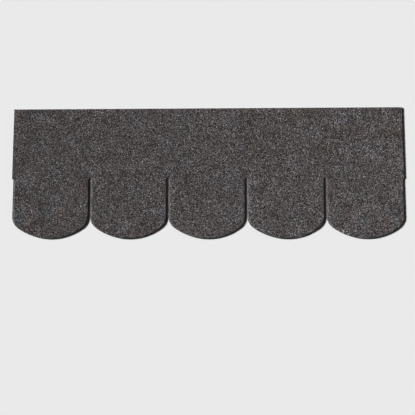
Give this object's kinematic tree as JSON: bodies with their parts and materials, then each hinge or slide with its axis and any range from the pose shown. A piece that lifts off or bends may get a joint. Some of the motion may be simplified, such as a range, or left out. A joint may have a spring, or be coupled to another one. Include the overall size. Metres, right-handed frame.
{
  "type": "asphalt shingle strip",
  "caption": "Flat granule-faced asphalt shingle strip with a row of beaver-tail tabs parted by narrow slots under a plain head lap, laid in overlapping courses on a roof.",
  "frame": {"origin": "under the middle of the strip, on the face that it lies on", "axes": "+X along the strip, +Y up the slope from the tips of the tabs to the head edge, +Z out of the granule face"},
  "size_m": [1, 0.3359, 0.003],
  "materials": {
    "granule_bitumen": "bitumen sheet faced with crushed mineral granules in mixed dark greys, matte and coarse, with black cut edges and a sanded underside"
  },
  "bodies": {
    "root": {"shingle_strip": "granule_bitumen"}
  },
  "joints": []
}
